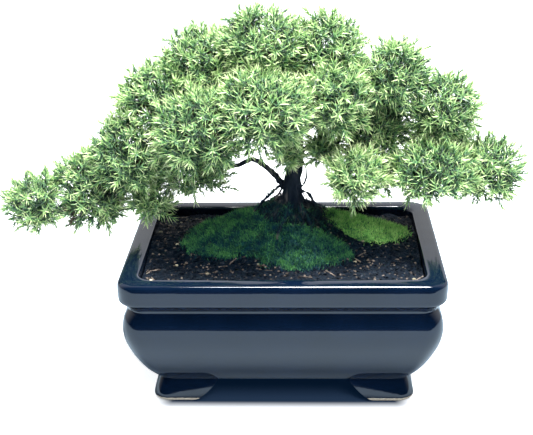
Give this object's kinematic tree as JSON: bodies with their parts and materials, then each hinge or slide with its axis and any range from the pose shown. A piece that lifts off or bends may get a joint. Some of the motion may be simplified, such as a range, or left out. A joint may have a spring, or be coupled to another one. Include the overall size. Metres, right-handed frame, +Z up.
{
  "type": "bonsai tree",
  "caption": "Dwarf juniper bonsai with wide leafy sprays of short awl-shaped needles over surface roots and moss, in a dark glazed rectangular pot on bracket feet.",
  "frame": {"origin": "below the middle of the whole tree, on the surface that the pot's feet stand on", "axes": "+X to the right along the pot's long side, +Y away from the viewer, +Z up"},
  "size_m": [0.305, 0.139, 0.2203],
  "materials": {
    "glazed_clay": "gloss dark navy glaze over fired clay, unglazed on the soles of the feet and inside",
    "screen_mesh": "matt black moulded mesh",
    "potting_mix": "damp bark and compost mix with pale grit",
    "dark_moss": "short dark green moss",
    "bright_moss": "short yellow-green moss",
    "bark": "rough fibrous grey-brown bark",
    "needles": "satin green needles with bright yellow-green tips"
  },
  "bodies": {
    "root": {"pot": "glazed_clay", "drain_screen_left": "screen_mesh", "drain_screen_right": "screen_mesh", "soil": "potting_mix", "moss_front": "dark_moss", "moss_right": "bright_moss", "wood": "bark", "spray_back_crown_1": "needles", "spray_back_crown_2": "needles", "spray_back_far_left_1": "needles", "spray_back_far_right_1": "needles", "spray_back_left_1": "needles", "spray_back_left_2": "needles", "spray_back_right_1": "needles", "spray_back_right_2": "needles", "spray_crown_1": "needles", "spray_crown_2": "needles", "spray_crown_3": "needles", "spray_crown_right_1": "needles", "spray_crown_right_2": "needles", "spray_front_1": "needles", "spray_front_2": "needles", "spray_front_3": "needles", "spray_front_right_1": "needles", "spray_front_right_2": "needles", "spray_hanging_1": "needles", "spray_hanging_2": "needles", "spray_left_front_1": "needles", "spray_left_front_2": "needles", "spray_left_front_3": "needles", "spray_left_hanging_1": "needles", "spray_left_high_1": "needles", "spray_left_high_2": "needles", "spray_left_low_1": "needles", "spray_left_low_2": "needles", "spray_left_mid_1": "needles", "spray_left_mid_2": "needles", "spray_left_tip_1": "needles", "spray_left_tip_2": "needles", "spray_left_top_1": "needles", "spray_left_top_2": "needles", "spray_left_under_1": "needles", "spray_left_under_2": "needles", "spray_right_droop_1": "needles", "spray_right_high_1": "needles", "spray_right_high_2": "needles", "spray_right_inner_1": "needles", "spray_right_low_1": "needles", "spray_right_low_2": "needles", "spray_right_mid_1": "needles", "spray_right_mid_2": "needles", "spray_right_middle_1": "needles", "spray_right_tip_1": "needles", "spray_right_tip_2": "needles", "spray_trunk_tuft_1": "needles"}
  },
  "joints": []
}
